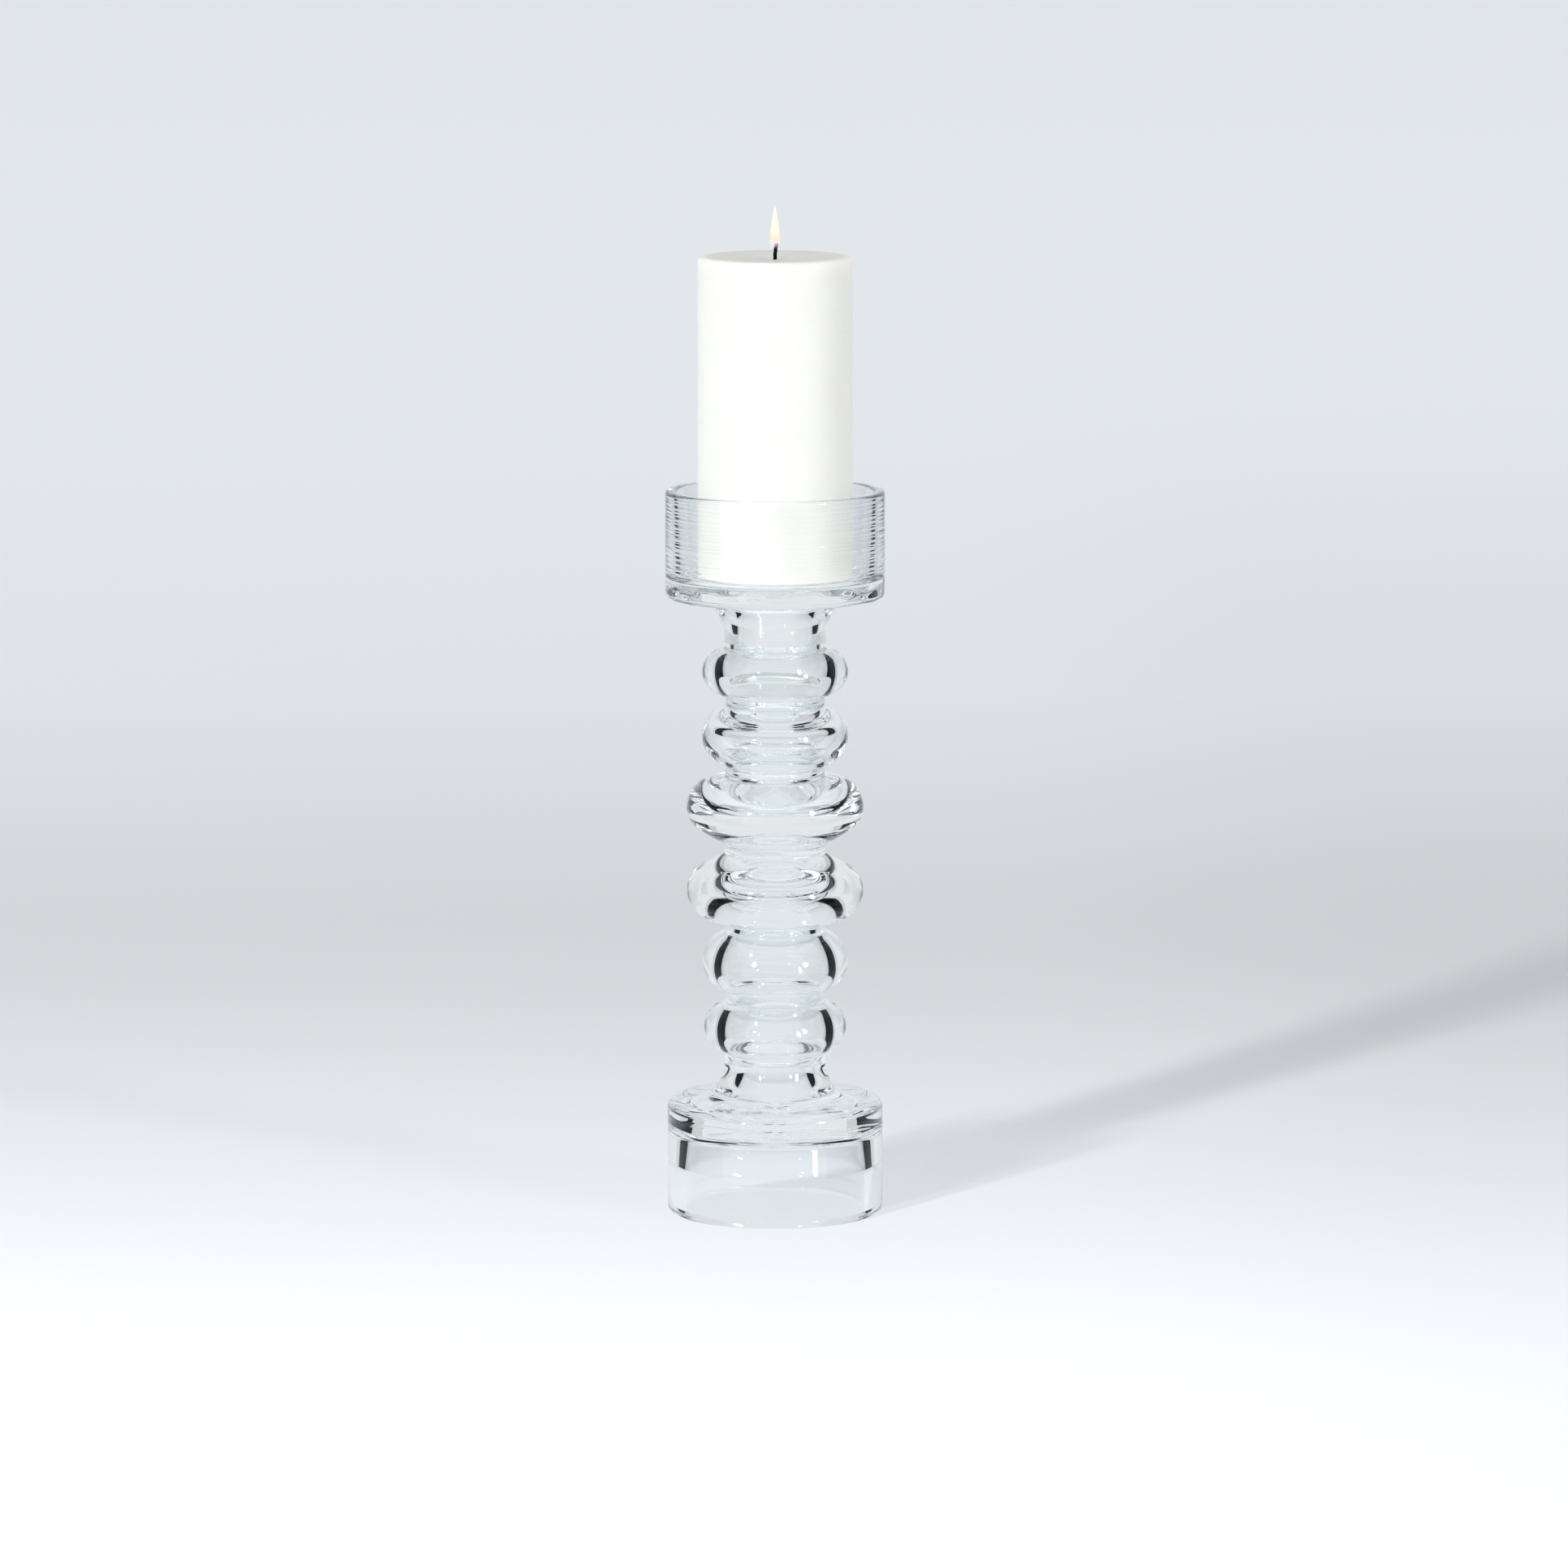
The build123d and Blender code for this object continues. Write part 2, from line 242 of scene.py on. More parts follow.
def swell(waist, waist_round, belly, belly_round=None):
    """From a waist out to a belly, upright at each end: a hollow arc, then a bulging one."""
    side = 1 if belly[1] > waist[1] else -1
    rise = abs(belly[1] - waist[1])
    touching = belly_round is None
    if touching:
        reach = belly[0] - waist[0]
        across = reach - waist_round
        belly_round = (across ** 2 + rise ** 2 - waist_round ** 2) / (2 * reach)
    hollow_centre = (waist[0] + waist_round, waist[1])
    bulge_centre = (belly[0] - belly_round, belly[1])
    across = bulge_centre[0] - hollow_centre[0]
    turn = math.atan2(rise, across)
    if not touching:
        turn += math.acos((waist_round + belly_round) / math.hypot(across, rise))
    turn = math.degrees(turn)
    return join(
        arc(hollow_centre, waist_round, side * 180, side * turn),
        arc(bulge_centre, belly_round, side * (turn - 180), 0),
    )


def hollow(waist, belly, belly_round):
    """Like swell, with the bulging arc given and the hollow one made to touch it."""
    reach = belly[0] - waist[0]
    rise = belly[1] - waist[1]
    return swell(waist, (reach ** 2 + rise ** 2) / (2 * reach) - belly_round, belly)


def flare(start, end):
    """Arc that leaves start upright and reaches end."""
    across, rise = end[0] - start[0], end[1] - start[1]
    radius = (across ** 2 + rise ** 2) / (2 * across)
    sweep = math.degrees(math.asin(abs(rise) / radius))
    side = 1 if rise > 0 else -1
    return arc((start[0] + radius, start[1]), radius, 180, 180 - side * sweep)


def dish(radius, depth, level):
    """Centre and radius of the sphere that sinks a dish into a level surface."""
    sphere = (radius ** 2 + depth ** 2) / (2 * depth)
    return (0, level - depth + sphere), sphere


def join(*runs):
    """One run of points from several, dropping the doubled ends."""
    points = list(runs[0])
    for run in runs[1:]:
        points += run[1:] if math.dist(points[-1], run[0]) < TINY else run
    return points


def rounded(points, radii, steps):
    """A run through corner points, each interior one rounded by its radius."""
    run = [points[0]]
    for before, corner, after, radius in zip(points, points[1:], points[2:], radii):
        incoming = np.array(before) - corner
        outgoing = np.array(after) - corner
        incoming /= np.linalg.norm(incoming)
        outgoing /= np.linalg.norm(outgoing)
        half = math.acos(float(np.clip(incoming @ outgoing, -1, 1))) / 2
        bisector = incoming + outgoing
        bisector /= np.linalg.norm(bisector)
        centre = np.array(corner) + bisector * radius / math.sin(half)
        first = np.array(corner) + incoming * radius / math.tan(half) - centre
        last = np.array(corner) + outgoing * radius / math.tan(half) - centre
        start = math.atan2(first[1], first[0])
        turn = math.atan2(last[1], last[0]) - start
        turn = (turn + math.pi) % (2 * math.pi) - math.pi
        bend = arc(centre, radius, math.degrees(start), math.degrees(start + turn))
        run = join(run, line(run[-1], bend[0], steps), bend)
    return join(run, line(run[-1], points[-1], steps))


# ---------------------------------------------------------------- turned meshes
def ripple(seed, pitch, orders, height):
    """A smooth uneven field over angle and distance along the outline.

    pitch is the range of its waves in radians per mm, orders their counts round the
    piece, and height its reach in mm.
    """
    draw = random.Random(seed)
    waves = [
        (draw.choice(orders), draw.uniform(*pitch), draw.uniform(0, 2 * math.pi),
         draw.choice((-1, 1)) * draw.uniform(0.5, 1.0))
        for _ in range(WAVES)
    ]
    total = sum(abs(wave[3]) for wave in waves)

    def field(angle, distance):
        value = sum(w * np.sin(n * angle + m * distance + phase) for n, m, phase, w in waves)
        return height * value / total

    return field


def displaced(points, wave):
    """Radius and height offsets at every angle for one run, fading out at its ends."""
    points = np.array(points)
    steps = np.linalg.norm(np.diff(points, axis=0), axis=1)
    distance = np.concatenate([[0], np.cumsum(steps)])
    tangent = np.gradient(points, axis=0)
    tangent /= np.linalg.norm(tangent, axis=1)[:, None]
    fade = np.clip(np.minimum(distance, distance[-1] - distance) / FADE, 0, 1)
    offset = fade[:, None] * wave(ANGLES[None, :], distance[:, None])
    return tangent[:, 1:] * offset, -tangent[:, :1] * offset


def closed_outline(runs):
    """The runs as one closed outline, with each edge's material and each point's ring."""
    outline, edge_material, radii, heights = [], [], [], []
    for points, material, wave in runs:
        base = np.array(points, dtype=float)
        radius = np.repeat(base[:, :1], SEGMENTS, axis=1)
        height = np.repeat(base[:, 1:], SEGMENTS, axis=1)
        if wave is not None:
            across, along = displaced(points, wave)
            radius += across * (base[:, :1] > TINY)
            height += along
        first = 1 if outline and math.dist(outline[-1], points[0]) < TINY else 0
        edges = len(points) - 1 if not outline or first else len(points)
        edge_material += [material] * edges
        outline += points[first:]
        radii += list(radius[first:])
        heights += list(height[first:])
    if math.dist(outline[0], outline[-1]) < TINY:
        outline.pop()
    else:
        edge_material.append(0)
    return outline, edge_material, radii, heights


def lathe(name, runs, body, replaced, materials):
    """Closed turned mesh from outline runs of (points, material index, wave or None)."""
    outline, edge_material, radii, heights = closed_outline(runs)
    vertices, rows = [], []
    for (reach, _), radius, height in zip(outline, radii, heights):
        if reach < TINY:
            rows.append([len(vertices)] * SEGMENTS)
            vertices.append((0, 0, height[0] * MM))
            continue
        rows.append(list(range(len(vertices), len(vertices) + SEGMENTS)))
        vertices += [
            (r * math.cos(a) * MM, r * math.sin(a) * MM, h * MM)
            for r, h, a in zip(radius, height, ANGLES)
        ]
    area = sum(
        r0 * z1 - r1 * z0 for (r0, z0), (r1, z1) in zip(outline, outline[1:] + outline[:1])
    )
    faces, face_material = [], []
    for index, material in enumerate(edge_material):
        near, far = rows[index], rows[(index + 1) % len(rows)]
        if near[0] == near[1] and far[0] == far[1]:
            continue
        for k in range(SEGMENTS):
            n = (k + 1) % SEGMENTS
            corners = [near[k], near[n], far[n], far[k]]
            if area < 0:
                corners.reverse()
            faces.append(list(dict.fromkeys(corners)))
            face_material.append(material)
    mesh = solid_mesh(name, vertices, faces, face_material, materials)
    return riding(name, mesh, body, replaced)


def solid_mesh(name, vertices, faces, face_material, materials):
    """Mesh with its materials, shaded smooth except over sharp edges."""
    mesh = bpy.data.meshes.new(name)
    mesh.from_pydata(vertices, [], faces)
    mesh.polygons.foreach_set("material_index", face_material)
    mesh.shade_smooth()
    mesh.set_sharp_from_angle(angle=math.radians(SHARP_ANGLE))
    for material in materials:
        mesh.materials.append(material)
    mesh.update()
    return mesh


def placed(name, data):
    """New object in the scene."""
    thing = bpy.data.objects.new(name, data)
    bpy.context.scene.collection.objects.link(thing)
    return thing


def riding(name, mesh, body, replaced):
    """New piece that moves with a body, in place of the replaced CAD nodes."""
    piece = placed(name, mesh)
    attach(piece, body)
    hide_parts(*replaced)
    return piece


# ---------------------------------------------------------------- materials
def node_material(name):
    """Empty material, its tree and its output node."""
    material = bpy.data.materials.new(name)
    material.use_nodes = True
    tree = material.node_tree
    tree.nodes.clear()
    return material, tree, add(tree, "OutputMaterial")


def add(tree, kind, values=None, **settings):
    """New shader node with some of its settings and input values."""
    node = tree.nodes.new("ShaderNode" + kind)
    for setting, value in settings.items():
        setattr(node, setting, value)
    for socket, value in (values or {}).items():
        node.inputs[socket].default_value = value
    return node


def spread_over(tree, source, span, low, high, **settings):
    """Map Range node that takes source over a span to values from low to high."""
    values = {"From Min": span[0], "From Max": span[1], "To Min": low, "To Max": high}
    node = add(tree, "MapRange", values, **settings)
    tree.links.new(source, node.inputs["Value"])
    return node.outputs["Result"]


def arithmetic(tree, operation, first, second):
    """Math node on two inputs, each a socket or a number."""
    node = add(tree, "Math", operation=operation)
    for inlet, value in zip(node.inputs, (first, second)):
        if isinstance(value, float):
            inlet.default_value = value
        else:
            tree.links.new(value, inlet)
    return node.outputs[0]


def mixed(tree, share, under, over):
    """Shader socket that shows over by a share, and under for the rest."""
    node = add(tree, "MixShader")
    tree.links.new(share, node.inputs["Fac"])
    tree.links.new(under, node.inputs[1])
    tree.links.new(over, node.inputs[2])
    return node.outputs["Shader"]


def coordinate(tree, kind):
    """Separated X, Y and Z of a texture coordinate."""
    place = add(tree, "TexCoord")
    split = add(tree, "SeparateXYZ")
    tree.links.new(place.outputs[kind], split.inputs[0])
    return split.outputs


def fill_ramp(node, stops):
    """Give a colour ramp its stops, as (position, colour)."""
    elements = node.color_ramp.elements
    first, *middle, last = stops
    for element, (position, colour) in zip((elements[0], elements[1]), (first, last)):
        element.position = position
        element.color = (*colour, 1)
    for position, colour in middle:
        elements.new(position).color = (*colour, 1)


def glass_material(name, shadow):
    """Clear glass with a breath of aqua.

    shadow is how much lamplight each face lets through to what stands behind.
    """
    material, tree, output = node_material(name)
    values = {"Color": (*GLASS_COLOUR, 1), "Roughness": 0.0, "IOR": GLASS_IOR}
    surface = add(tree, "BsdfGlass", values).outputs[0]
    path = add(tree, "LightPath")
    for ray, clarity in (("Is Diffuse Ray", 1.0), ("Is Shadow Ray", shadow)):
        clear = add(tree, "BsdfTransparent", {"Color": (clarity, clarity, clarity, 1)})
        surface = mixed(tree, path.outputs[ray], surface, clear.outputs["BSDF"])
    tree.links.new(surface, output.inputs["Surface"])
    return material


def bonded_material():
    """Where two glass faces meet in adhesive, light crosses without bending."""
    material, tree, output = node_material("bonded_face")
    clear = add(tree, "BsdfTransparent")
    tree.links.new(clear.outputs["BSDF"], output.inputs["Surface"])
    return material


def plain(name, colour, roughness, values=None):
    """Principled material of one colour; also returns its tree and shader."""
    material, tree, output = node_material(name)
    look = {"Base Color": (*colour, 1), "Roughness": roughness}
    shader = add(tree, "BsdfPrincipled", look | (values or {}))
    tree.links.new(shader.outputs["BSDF"], output.inputs["Surface"])
    return material, tree, shader


def mottled(tree, shader, colour, scale, spread, relief):
    """Cloudy variation of a base colour, with a shallow bump to go with it.

    scale is the number of clouds per metre, spread their share of the colour,
    and relief the bump's depth in metres.
    """
    place = add(tree, "TexCoord")
    noise = add(tree, "TexNoise", {"Scale": scale, "Detail": 4.0})
    tint = add(tree, "VectorMath", {0: colour}, operation="SCALE")
    bump = add(tree, "Bump", {"Distance": relief})
    tree.links.new(place.outputs["Object"], noise.inputs["Vector"])
    shade = spread_over(tree, noise.outputs["Fac"], (0, 1), 1 - spread, 1 + spread)
    tree.links.new(shade, tint.inputs["Scale"])
    tree.links.new(tint.outputs["Vector"], shader.inputs["Base Color"])
    tree.links.new(noise.outputs["Fac"], bump.inputs["Height"])
    tree.links.new(bump.outputs["Normal"], shader.inputs["Normal"])


def wax_material(name, colour):
    """Smooth paraffin wax that light sinks into, a little cloudy."""
    material, tree, shader = plain(name, colour, 0.45, {
        "Subsurface Weight": 1.0,
        "Subsurface Radius": WAX_SCATTER,
        "Subsurface Scale": WAX_SCATTER_LENGTH,
    })
    mottled(tree, shader, colour, 70, 0.03, 0.0002)
    return material


def fibre_material(name, colour, spread):
    """Dull twisted cotton."""
    material, tree, shader = plain(name, colour, 0.9)
    mottled(tree, shader, colour, 1800, spread, 0.0002)
    return material


def tinned_steel():
    """Thin pressed metal with a faintly mottled tin skin."""
    material, tree, shader = plain("tinned_steel", TIN_COLOUR, 0.32, {"Metallic": 1.0})
    mottled(tree, shader, TIN_COLOUR, 500, 0.08, 0.00005)
    return material


GLASS = glass_material("clear_glass", 0.56)
CUP_GLASS = glass_material("clear_glass_of_the_cup", 0.96)
BASE_GLASS = glass_material("clear_glass_of_the_base", 0.72)
BONDED_FACE = bonded_material()


# ---------------------------------------------------------------- glass sections
def joint_bore(node, neighbour):
    """Radius of the hollow where two sections of the stem meet."""
    return next(bore for pair, bore in JOINT_BORE.items() if set(pair) == {node, neighbour})


def glass_section(node, outer, inner, wave):
    """Stem section from its two outlines, with bonded faces across its ends."""
    inner_end = inner[-1] if inner[-1][0] > TINY else (0, outer[0][1])
    lathe(
        node + "_glass",
        [
            (outer, POLISHED, None),
            (line(outer[-1], inner[0]), BONDED, None),
            (inner, POLISHED, wave),
            (line(inner_end, outer[0]), BONDED, None),
        ],
        "holder", [node], [GLASS, BONDED_FACE],
    )


def small_ring(node, above, below, seed):
    """Bead-shaped ring with a hollow that widens inside it."""
    low, high, radius = box_mm(node)
    equator = (low + high) / 2
    belly = (radius, equator)
    belly_bore, offset, upper_round, lower_round, land = HOLLOW[node]
    hollow_belly = (belly_bore, equator + offset)
    outer = join(
        [(GROOVE_RADIUS, low)],
        swell((GROOVE_RADIUS, low + COLLAR), GROOVE_ROUND, belly),
        swell((GROOVE_RADIUS, high - COLLAR), GROOVE_ROUND, belly)[::-1],
        [(GROOVE_RADIUS, high)],
    )
    inner = join(
        [(joint_bore(node, above), high)],
        hollow((joint_bore(node, above), high - land), hollow_belly, upper_round),
        hollow((joint_bore(node, below), low), hollow_belly, lower_round)[::-1],
    )
    glass_section(node, outer, inner, ripple(seed, *RING_WAVES))


def large_ring(node, side, neighbour, seed):
    """Ring above (side 1) or below (side -1) the middle joint, closed towards it."""
    low, high, radius = box_mm(node)
    middle = low if side == 1 else high

    def place(points):
        return [(r, middle + side * (d - near)) for r, d in points]

    near = BOND / 2
    far = near + (high - low)
    belly = (radius, LARGE_EQUATOR)
    hollow_belly = (LARGE_BORE, LARGE_BORE_LEVEL)
    outer = join(
        [(MIDDLE_RADIUS, near)],
        swell((MIDDLE_RADIUS, near + COLLAR), GROOVE_ROUND, belly, LARGE_FLANK_ROUND),
        swell((GROOVE_RADIUS, far - COLLAR), GROOVE_ROUND, belly)[::-1],
        [(GROOVE_RADIUS, far)],
    )
    chord = (LARGE_BORE - PLUG_RADIUS, LARGE_BORE_LEVEL - PLUG_LEVEL)
    turn_radius = (chord[0] ** 2 + chord[1] ** 2) / (2 * chord[0])
    sweep = math.degrees(2 * math.atan2(chord[0], chord[1]))
    nub_centre, nub = dish(NUB_RADIUS, NUB_DEPTH, NUB_LEVEL)
    nub_sweep = math.degrees(math.asin(NUB_RADIUS / nub))
    inner = join(
        hollow((joint_bore(node, neighbour), far), hollow_belly, LARGE_BORE_ROUND),
        arc((LARGE_BORE - turn_radius, LARGE_BORE_LEVEL), turn_radius, 0, -sweep),
        line((PLUG_RADIUS, PLUG_LEVEL), (NUB_RADIUS, NUB_LEVEL)),
        arc(nub_centre, nub, -90 + nub_sweep, -90),
    )
    glass_section(node, place(outer), place(inner), ripple(seed, *RING_WAVES))


def neck(node, side, neighbour, seed):
    """Neck flaring upwards (side 1) to the cup, or downwards (side -1) to the base."""
    low, high, flare_radius = box_mm(node)
    start, end = (low, high) if side == 1 else (high, low)
    waist = start + side * COLLAR
    outer = join([(NECK_RADIUS, start)], flare((NECK_RADIUS, waist), (flare_radius, end)))
    throat = (NECK_BORE[node], start + side * NECK_THROAT[node])
    inner = join(
        flare(throat, (NECK_FLARE_BORE[node], end))[::-1],
        flare(throat, (joint_bore(node, neighbour), start)),
    )
    glass_section(node, outer, inner, ripple(seed, *NECK_WAVES))


def candle_cup():
    """Open cup with a thick slab, bonded to the upper neck."""
    low, high, radius = box_mm("candle_cup")
    seam = box_mm("upper_neck")[2]
    mouth = NECK_FLARE_BORE["upper_neck"]
    floor = low + CUP_SLAB
    apron = (radius, floor)
    lip_drop = LIP_TAPER * (high - floor) / (CUP_RIM_BORE - CUP_FLOOR_BORE)
    brim = (CUP_RIM_BORE - LIP_TAPER, high - lip_drop)
    foot = rounded([(seam, low), (radius, low), apron], [CUP_FOOT_ROUND], WALL_STEP)
    lip = rounded(
        [apron, (radius, high), (CUP_RIM_BORE, high), brim],
        [RIM_ROUND, RIM_ROUND], WALL_STEP / 2,
    )
    inside = rounded(
        [brim, (CUP_FLOOR_BORE, floor), (0, floor)], [CUP_FLOOR_ROUND], WALL_STEP / 2,
    )
    lathe(
        "candle_cup_glass",
        [
            (foot, POLISHED, ripple(72, *CUP_FOOT_WAVES)),
            (lip, POLISHED, ripple(73, *CUP_LIP_WAVES)),
            (inside, POLISHED, ripple(71, *CUP_INSIDE_WAVES)),
            (line((0, low), (mouth, low)), POLISHED, None),
            (line((mouth, low), (seam, low)), BONDED, None),
        ],
        "holder", ["candle_cup"], [CUP_GLASS, BONDED_FACE],
    )


def base_cup():
    """Upturned cup that the holder stands on, bonded to the lower neck."""
    low, high, radius = box_mm("base_cup")
    seam = box_mm("lower_neck")[2]
    mouth = NECK_FLARE_BORE["lower_neck"]
    ceiling = high - BASE_SLAB
    shoulder = rounded(
        [(seam, high), (radius, high), (radius, ceiling)],
        [BASE_SHOULDER_ROUND], WALL_STEP * 2,
    )
    wall = rounded(
        [
            (radius, ceiling), (radius, low), (BASE_BORE, low), (BASE_BORE, BASE_BEND),
            (BASE_CEILING_BORE, ceiling), (BASE_CEILING_BORE - BASE_CEILING_ROUND, ceiling),
        ],
        [FOOT_ROUND, FOOT_ROUND, BASE_BEND_ROUND, BASE_COVE_ROUND], WALL_STEP * 2,
    )
    roof = line(wall[-1], (0, ceiling), WALL_STEP * 2)
    lathe(
        "base_cup_glass",
        [
            (shoulder, POLISHED, ripple(81, *BASE_SHOULDER_WAVES)),
            (wall, POLISHED, ripple(82, *BASE_WALL_WAVES)),
            (roof, POLISHED, ripple(83, *BASE_ROOF_WAVES)),
            (line((0, high), (mouth, high)), POLISHED, None),
            (line((mouth, high), (seam, high)), BONDED, None),
        ],
        "holder", ["base_cup"], [BASE_GLASS, BONDED_FACE],
    )


def adhesive_film(node, bore):
    """Thin clear film between two glass sections."""
    low, high, radius = box_mm(node)
    runs = [
        (line((radius, low), (radius, high)), POLISHED, None),
        (line((radius, high), (bore, high)), BONDED, None),
    ]
    if bore > 0:
        runs.append((line((bore, high), (bore, low)), POLISHED, None))
    runs.append((line((bore, low), (radius, low)), BONDED, None))
    lathe(node + "_film", runs, "holder", [node], [GLASS, BONDED_FACE])


# ---------------------------------------------------------------- candle
def candle_wax():
    """Pillar of wax with a raised edge and a shallow melted pool round the wick."""
    low, high, radius = box_mm("candle_wax")
    centre, sphere = dish(POOL_RADIUS, POOL_DEPTH, high)
    rim = math.degrees(math.asin(POOL_RADIUS / sphere))
    mouth = math.degrees(math.asin(WAX_BORE / sphere))
    brim = high + WAX_BRIM
    outside = rounded(
        [(WAX_BORE, low), (radius, low), (radius, brim), (radius - WAX_BRIM_WIDTH, brim)],
        [WAX_FOOT_ROUND, WAX_SHOULDER], WAX_STEP,
    )
    pool = arc(centre, sphere, -90 + rim, -90 + mouth)
    return lathe(
        "candle_wax_body",
        [
            (outside, IVORY, ripple(91, *WAX_WAVES)),
            # inside the raised edge the top and the pool take the darker wax, as painted
            # shade
            (line(outside[-1], pool[0]), PAINTED_SHADE_TOP, None),
            (pool, PAINTED_SHADE_TOP, None),
            (line(pool[-1], outside[0]), PAINTED_SHADE_TOP, None),
        ],
        "candle", ["candle_wax"],
        [wax_material("ivory_wax", WAX_COLOUR), wax_material("wax_with_painted_shade", PAINTED_SHADE_WAX_COLOUR)],
    )


def wick():
    """Braided cord, pale inside the wax and burnt black where it leans over above it."""
    low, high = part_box("wick")
    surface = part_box("candle_wax")[1][2] / MM
    foot, tip = low[2] / MM, high[2] / MM
    radius = (high[1] - low[1]) / 2 / MM
    drift = high[0] / MM - radius
    braided = np.arange(surface - BRAID_START, tip, WICK_STEP)
    levels = [foot] + list(braided) + [tip]
    vertices, faces, face_material = [], [], []
    for level in levels:
        rise = max(0.0, level - surface) / (tip - surface)
        centre = drift * rise ** 2
        taper = WICK_TIP_TAPER if level == tip else 1.0
        for k in range(WICK_SIDES):
            angle = 2 * math.pi * k / WICK_SIDES
            strand = math.sin(BRAID_STRANDS * angle + BRAID_TWIST * (level - surface))
            reach = radius * taper * (1 - BRAID_DEPTH + BRAID_DEPTH * strand)
            across = centre + reach * math.cos(angle)
            vertices.append((across * MM, reach * math.sin(angle) * MM, level * MM))
    for row in range(len(levels) - 1):
        start = row * WICK_SIDES
        above = start + WICK_SIDES
        for k in range(WICK_SIDES):
            n = (k + 1) % WICK_SIDES
            faces.append([start + k, start + n, above + n, above + k])
            face_material.append(CORD if levels[row + 1] < surface - CHAR_DEPTH else CHAR)
    faces.append(list(range(WICK_SIDES))[::-1])
    faces.append([(len(levels) - 1) * WICK_SIDES + k for k in range(WICK_SIDES)])
    face_material += [CORD, CHAR]
    cord = fibre_material("cord", CORD_COLOUR, 0.06)
    char = fibre_material("char", CHAR_COLOUR, 0.5)
    mesh = solid_mesh("wick_cord", vertices, faces, face_material, [cord, char])
    riding("wick_cord", mesh, "candle", ["wick"])


def wick_sustainer():
    """The metal tab under the wick keeps its CAD mesh and gets its finish here."""
    tab = frame["nodes"]["wick_sustainer"]
    tab.data.materials.clear()
    tab.data.materials.append(tinned_steel())


def flame_material():
    """Pale yellow light, warmer low down and thinning to a clear bluish foot."""
    material, tree, output = node_material("flame")
    height = coordinate(tree, "Generated")["Z"]
    shade = add(tree, "ValToRGB")
    fill_ramp(shade, FLAME_COLOURS)
    body = spread_over(tree, height, (0, 0.22), 0.02, 0.97)
    edge = add(tree, "LayerWeight", {"Blend": 0.25})
    core = arithmetic(tree, "SUBTRACT", 1.0, edge.outputs["Facing"])
    glow = add(tree, "Emission", {"Strength": FLAME_GLOW})
    clear = add(tree, "BsdfTransparent")
    cover = arithmetic(tree, "MULTIPLY", body, core)
    surface = mixed(tree, cover, clear.outputs["BSDF"], glow.outputs["Emission"])
    tree.links.new(height, shade.inputs["Fac"])
    tree.links.new(shade.outputs["Color"], glow.inputs["Color"])
    tree.links.new(surface, output.inputs["Surface"])
    return material


def flame():
    """Slender flame standing over the wick; it has no counterpart in the CAD."""
    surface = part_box("candle_wax")[1][2] / MM
    foot, tip = surface + FLAME_FOOT, surface + FLAME_TIP
    outline = [(0.0, foot)]
    for t in np.linspace(0, 1, FLAME_STEPS + 1)[1:-1]:
        foot_share = min(1.0, math.sqrt(t / FLAME_SHOULDER))
        reach = FLAME_RADIUS * (1 - t ** FLAME_POINTEDNESS) * foot_share
        outline.append((reach, foot + (tip - foot) * t))
    outline.append((0.0, tip))
    lathe("flame", [(outline, 0, None)], "candle", [], [flame_material()])


# ---------------------------------------------------------------- stage
def camera():
    """Camera at the height and distance that give the picture its perspective."""
    data = bpy.data.cameras.new("camera")
    data.lens = CAMERA_LENS
    data.sensor_width = 36
    data.clip_end = 100
    view = placed("camera", data)
    view.location = CAMERA_PLACE
    view.rotation_euler = (math.radians(90 - CAMERA_DIP), 0, 0)
    bpy.context.scene.camera = view


def world():
    """Even, slightly cool light from all round."""
    studio = bpy.data.worlds.new("studio")
    bpy.context.scene.world = studio
    studio.use_nodes = True
    background = studio.node_tree.nodes["Background"]
    background.inputs["Color"].default_value = (*WORLD_COLOUR, 1)
    background.inputs["Strength"].default_value = WORLD_STRENGTH
    studio.cycles.sampling_method = "NONE"


def paper_material():
    """White paper with painted shade behind the holder and to the right, and painted light at
    its front.
    """
    material, tree, shader = plain("paper", (1, 1, 1), 0.9, {
        "Specular IOR Level": 0.1,
        "Emission Color": (*PAINTED_LIGHT_COLOUR, 1),
    })
    axes = coordinate(tree, "Object")
    span = (PAPER_WITH_PAINTED_SHADE[0][0], PAPER_WITH_PAINTED_SHADE[-1][0])
    depth = spread_over(tree, axes["Y"], span, 0, 1)
    shade = add(tree, "ValToRGB")
    shade.color_ramp.interpolation = "B_SPLINE"
    fill_ramp(shade, [
        ((distance - span[0]) / (span[1] - span[0]),
         [min(1.0, share * grey) for share in SWEEP_TINT])
        for distance, grey in PAPER_WITH_PAINTED_SHADE
    ])
    # painted light: the paper's front glows, fading out behind the holder
    painted_light = spread_over(
        tree, axes["Y"], PAINTED_LIGHT_FADE, FOREGROUND_PAINTED_LIGHT, 0, interpolation_type="SMOOTHSTEP",
    )
    # painted shade to the right, strongest near the holder
    side = spread_over(
        tree, axes["X"], SIDE_FADE, 0, SIDE_PAINTED_SHADE, interpolation_type="SMOOTHSTEP",
    )
    near = spread_over(tree, axes["Y"], SIDE_REACH, 1, 0)
    unshaded_share = arithmetic(tree, "SUBTRACT", 1.0, arithmetic(tree, "MULTIPLY", side, near))
    paper = add(tree, "VectorMath", operation="SCALE")
    tree.links.new(depth, shade.inputs["Fac"])
    tree.links.new(shade.outputs["Color"], paper.inputs[0])
    tree.links.new(unshaded_share, paper.inputs["Scale"])
    tree.links.new(paper.outputs["Vector"], shader.inputs["Base Color"])
    tree.links.new(painted_light, shader.inputs["Emission Strength"])
    return material


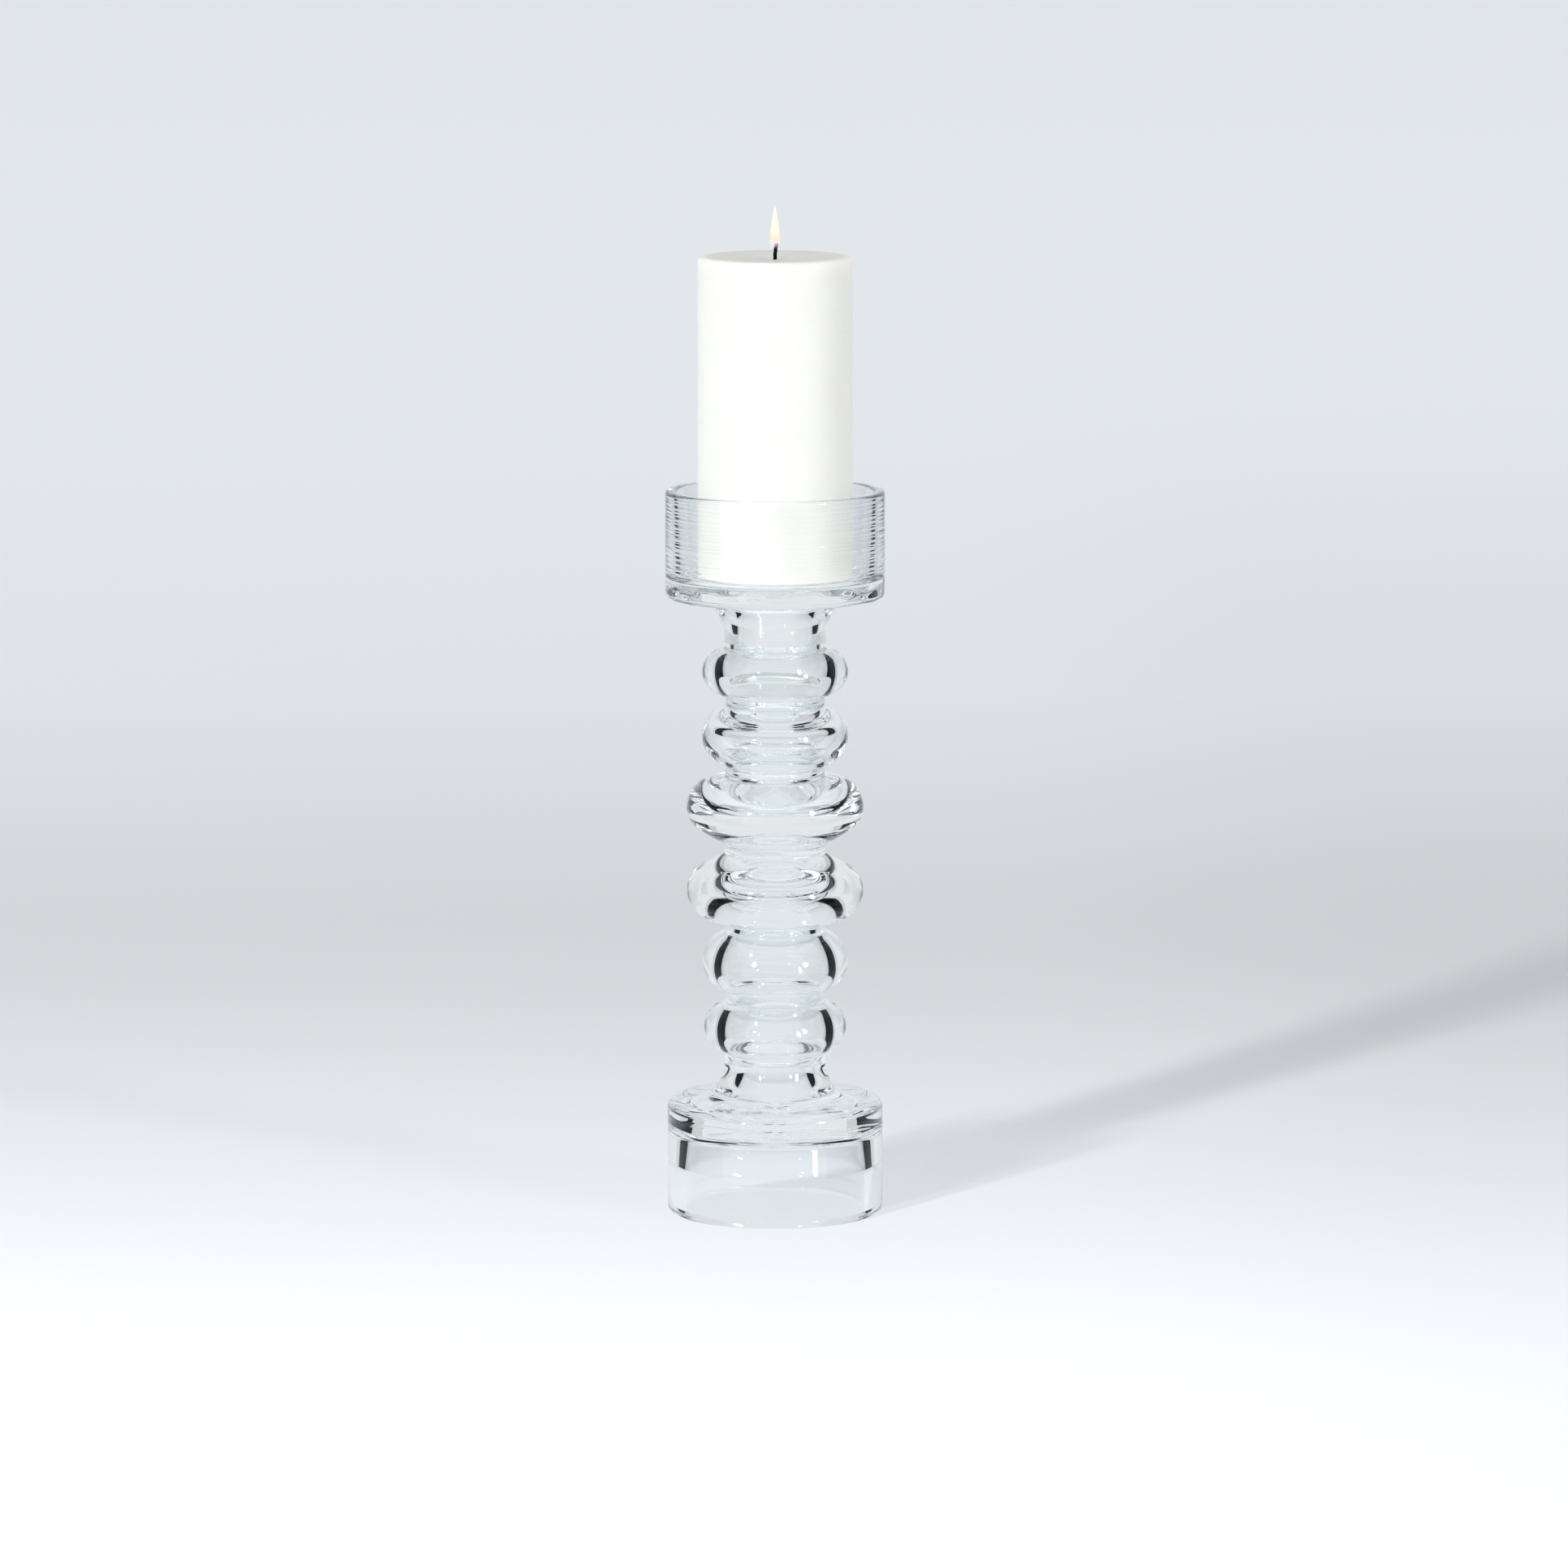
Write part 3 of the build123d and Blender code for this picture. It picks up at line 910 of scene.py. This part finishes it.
def stage_piece(name, points, faces, material):
    """Piece of the set, which isn't part of the object."""
    mesh = bpy.data.meshes.new(name)
    mesh.from_pydata(points, [], faces)
    mesh.materials.append(material)
    piece = placed(name, mesh)
    return piece


def floor():
    """Wide disc of paper."""
    turns = [2 * math.pi * i / FLOOR_SIDES for i in range(FLOOR_SIDES)]
    points = [(FLOOR_RADIUS * math.cos(a), FLOOR_RADIUS * math.sin(a), 0) for a in turns]
    stage_piece("floor", points, [list(range(FLOOR_SIDES))], paper_material())


def softbox(name, angles, size, power):
    """Area lamp aimed at the stem from an azimuth and an elevation in degrees."""
    lamp = bpy.data.lights.new(name, "AREA")
    lamp.shape = "ELLIPSE"
    lamp.size, lamp.size_y = size
    lamp.energy = power
    azimuth, elevation = np.radians(angles)
    back = np.array((
        math.sin(azimuth) * math.cos(elevation),
        -math.cos(azimuth) * math.cos(elevation),
        math.sin(elevation),
    ))
    light = placed(name, lamp)
    light.location = np.array(LAMP_AIM) + back * LAMP_DISTANCE
    light.rotation_euler = (math.pi / 2 - elevation, 0, azimuth)
    return light


def share_lamps(piece, softer, stronger):
    """Light one piece with the softer lamp, and everything else with the stronger one."""
    for light, state in ((softer, "INCLUDE"), (stronger, "EXCLUDE")):
        lit = bpy.data.collections.new(light.name + "_pieces")
        lit.objects.link(piece)
        lit.collection_objects[0].light_linking.link_state = state
        light.light_linking.receiver_collection = lit


def flag_material(name, opacity):
    """Black to rays that the glass has both let through and reflected, clear to others."""
    material, tree, output = node_material(name)
    clear = add(tree, "BsdfTransparent")
    black = add(tree, "Emission", {"Color": (0, 0, 0, 1)})
    path = add(tree, "LightPath").outputs
    inside = arithmetic(tree, "MULTIPLY", path["Glossy Depth"], path["Transmission Depth"])
    seen = arithmetic(tree, "GREATER_THAN", inside, 0.5)
    cover = arithmetic(tree, "MULTIPLY", seen, opacity)
    surface = mixed(tree, cover, clear.outputs["BSDF"], black.outputs["Emission"])
    tree.links.new(surface, output.inputs["Surface"])
    return material


def black_flag(name, near, far, opacity):
    """Upright curved screen behind the holder, which gives the glass its dark edge lines.

    near and far are its edges in degrees from straight behind.
    """
    points = [
        (FLAG_DISTANCE * math.sin(a), FLAG_DISTANCE * math.cos(a), height)
        for a in np.radians(np.linspace(near, far, FLAG_STEPS + 1))
        for height in (0.0, FLAG_HEIGHT)
    ]
    faces = [[2 * i, 2 * i + 2, 2 * i + 3, 2 * i + 1] for i in range(FLAG_STEPS)]
    screen = stage_piece(name, points, faces, flag_material(name, opacity))
    screen.visible_camera = False
    screen.visible_diffuse = False
    screen.visible_shadow = False


def light_paths():
    """Enough bounces for light to find its way through the glass, without caustics."""
    cycles = bpy.context.scene.cycles
    cycles.max_bounces = 32
    cycles.transmission_bounces = 32
    cycles.glossy_bounces = 16
    cycles.transparent_max_bounces = 32
    cycles.caustics_refractive = False
    cycles.caustics_reflective = False
    cycles.use_denoising = True


def tone():
    """Plain colours, with the darkest tones pulled down as a product photo has them."""
    settings = bpy.context.scene.view_settings
    settings.view_transform = "Standard"
    settings.use_curve_mapping = True
    curve = settings.curve_mapping.curves[3]
    for dark, darker in DARK_TONES:
        curve.points.new(dark, darker)
    settings.curve_mapping.update()


camera()
world()
floor()
for side, word in ((1, "right"), (-1, "left")):
    for name, near, far, opacity in FLAGS:
        black_flag(f"{name}_{word}", side * near, side * far, opacity)
key = softbox("key", KEY_ANGLES, (0.35, 0.6), 310)
wax_key = softbox("wax_key", KEY_ANGLES, (0.9, 1.2), 128)
softbox("fill", FILL_ANGLES, (0.7, 1.5), 60)

small_ring("ring_1", "upper_neck", "ring_2", 11)
small_ring("ring_2", "ring_1", "ring_3", 12)
small_ring("ring_5", "ring_4", "ring_6", 15)
small_ring("ring_6", "ring_5", "lower_neck", 16)
large_ring("ring_3", 1, "ring_2", 31)
large_ring("ring_4", -1, "ring_5", 41)
neck("upper_neck", 1, "ring_1", 51)
neck("lower_neck", -1, "ring_6", 61)
candle_cup()
base_cup()
adhesive_film("bond_ring_3_to_ring_4", 0)
adhesive_film("bond_upper_neck_to_candle_cup", NECK_FLARE_BORE["upper_neck"])
adhesive_film("bond_lower_neck_to_base_cup", NECK_FLARE_BORE["lower_neck"])
for (first, second), bore in JOINT_BORE.items():
    adhesive_film(f"bond_{first}_to_{second}", bore)

share_lamps(candle_wax(), wax_key, key)
wick()
wick_sustainer()
flame()
light_paths()
tone()
